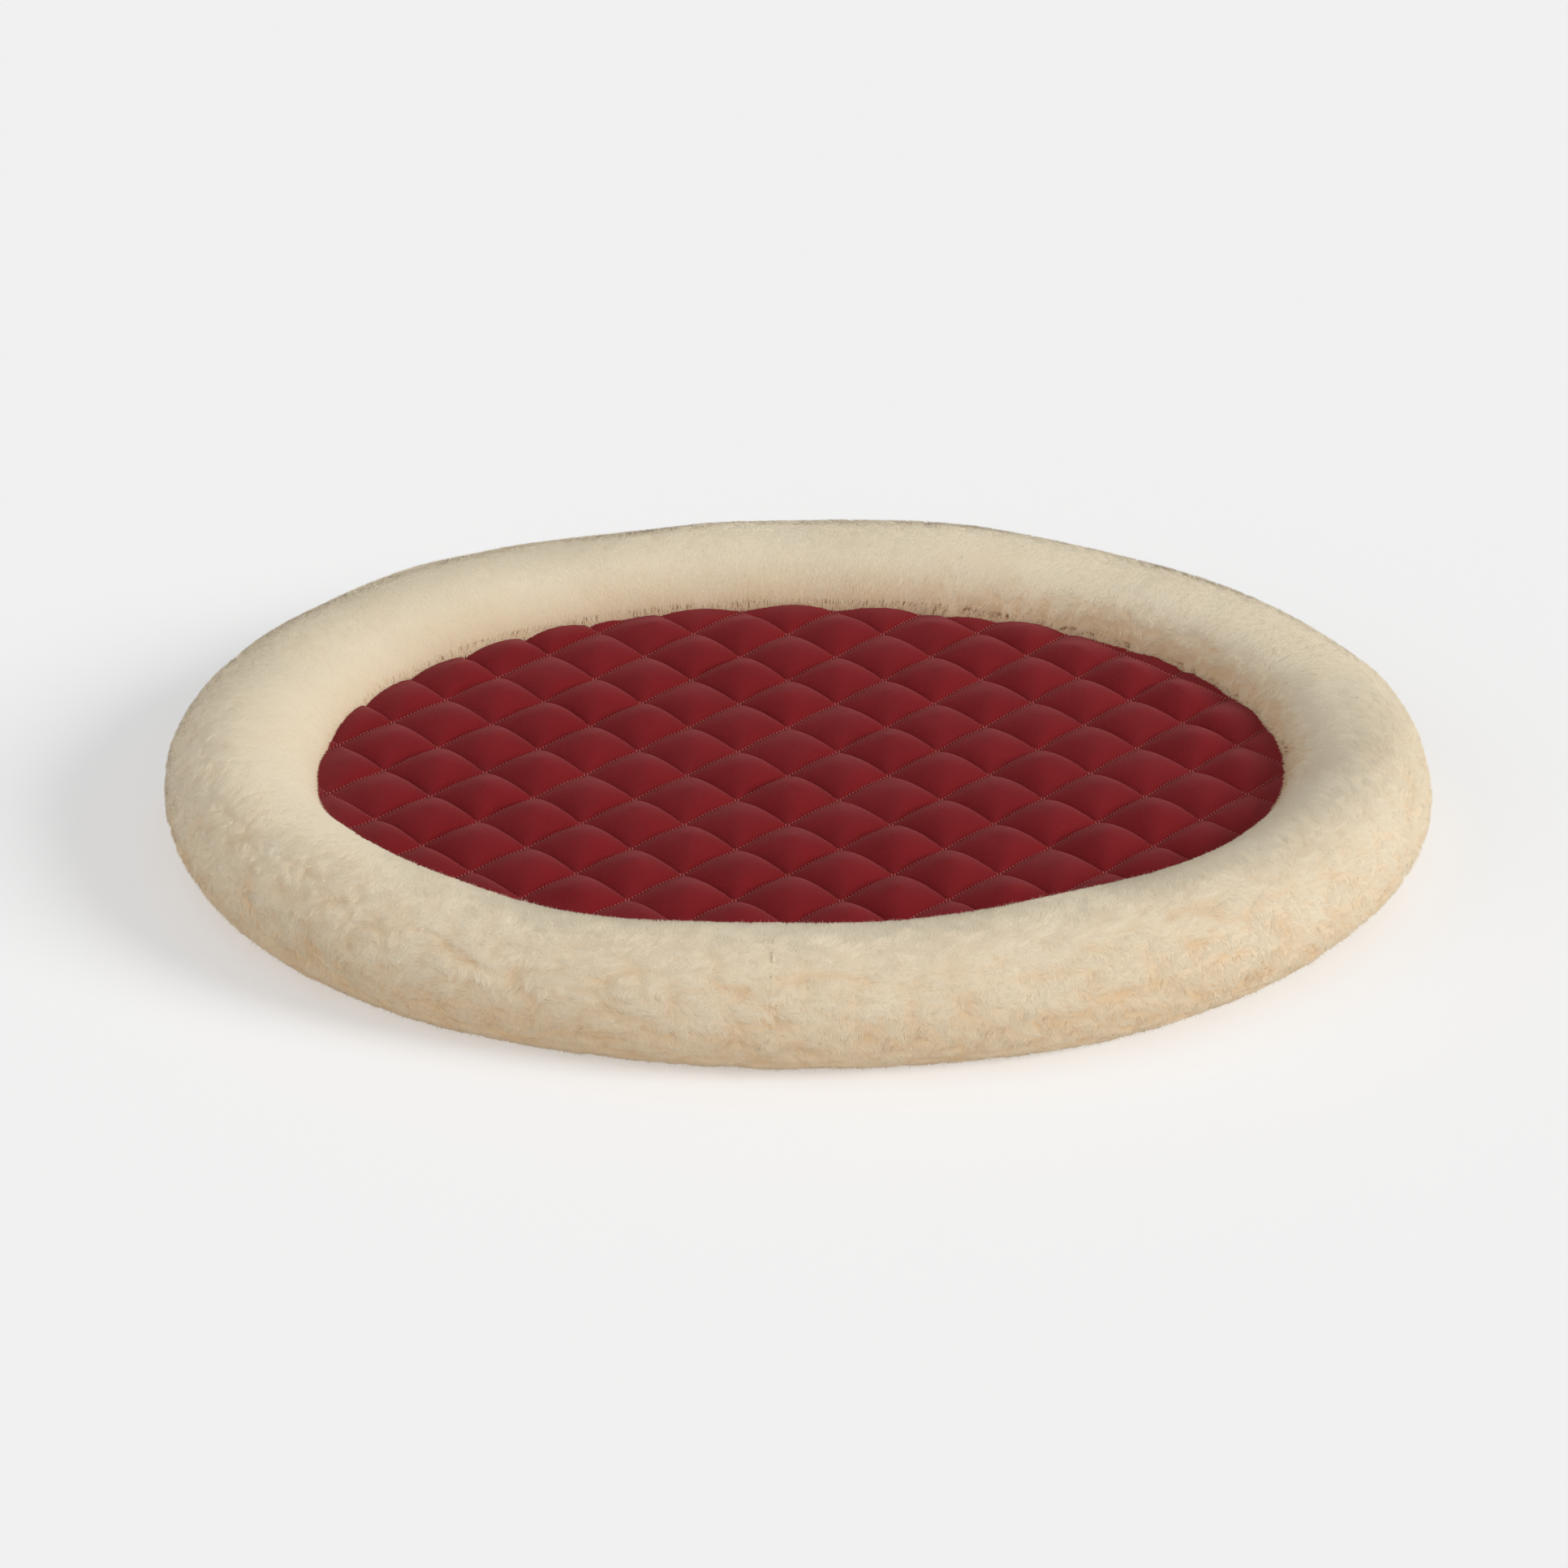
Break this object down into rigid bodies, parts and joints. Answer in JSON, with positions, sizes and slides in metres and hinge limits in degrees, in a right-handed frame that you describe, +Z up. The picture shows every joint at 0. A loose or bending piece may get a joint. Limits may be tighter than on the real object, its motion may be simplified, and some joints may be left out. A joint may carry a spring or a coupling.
{
  "type": "pet cushion bed",
  "caption": "Low oval pet bed: a stuffed sheepskin rim runs round a flat cushion with a diamond-quilted twill top.",
  "frame": {"origin": "middle of the underside, on the floor", "axes": "+Z up, +X along the long side, +Y across towards the back"},
  "size_m": [0.7062, 0.5574, 0.07],
  "materials": {
    "burgundy_twill": "quilted cotton twill, matt with a soft sheen",
    "burgundy_thread": "polyester sewing thread, slight sheen",
    "sheep_wool": "clipped sheepskin wool, cream",
    "hide": "tanned skin side, suede",
    "base_canvas": "plain cotton canvas",
    "lining_cotton": "unbleached lining cotton",
    "batting": "white fibre stuffing",
    "cushion_fill": "bonded fibre pad",
    "cream_thread": "waxed sewing thread"
  },
  "bodies": {
    "root": {"base_cloth": "base_canvas", "base_pad": "cushion_fill", "quilt_backing": "lining_cotton", "quilt_wadding": "batting", "quilt_face": "burgundy_twill", "quilting_thread": "burgundy_thread", "rim_filling": "batting", "panel_seam_thread": "cream_thread", "base_seam_thread": "cream_thread", "section_seam_thread": "cream_thread", "rim_hide_front_left": "hide", "rim_wool_front_left": "sheep_wool", "rim_hide_front_right": "hide", "rim_wool_front_right": "sheep_wool", "rim_hide_back_right": "hide", "rim_wool_back_right": "sheep_wool", "rim_hide_back_left": "hide", "rim_wool_back_left": "sheep_wool"}
  },
  "joints": []
}
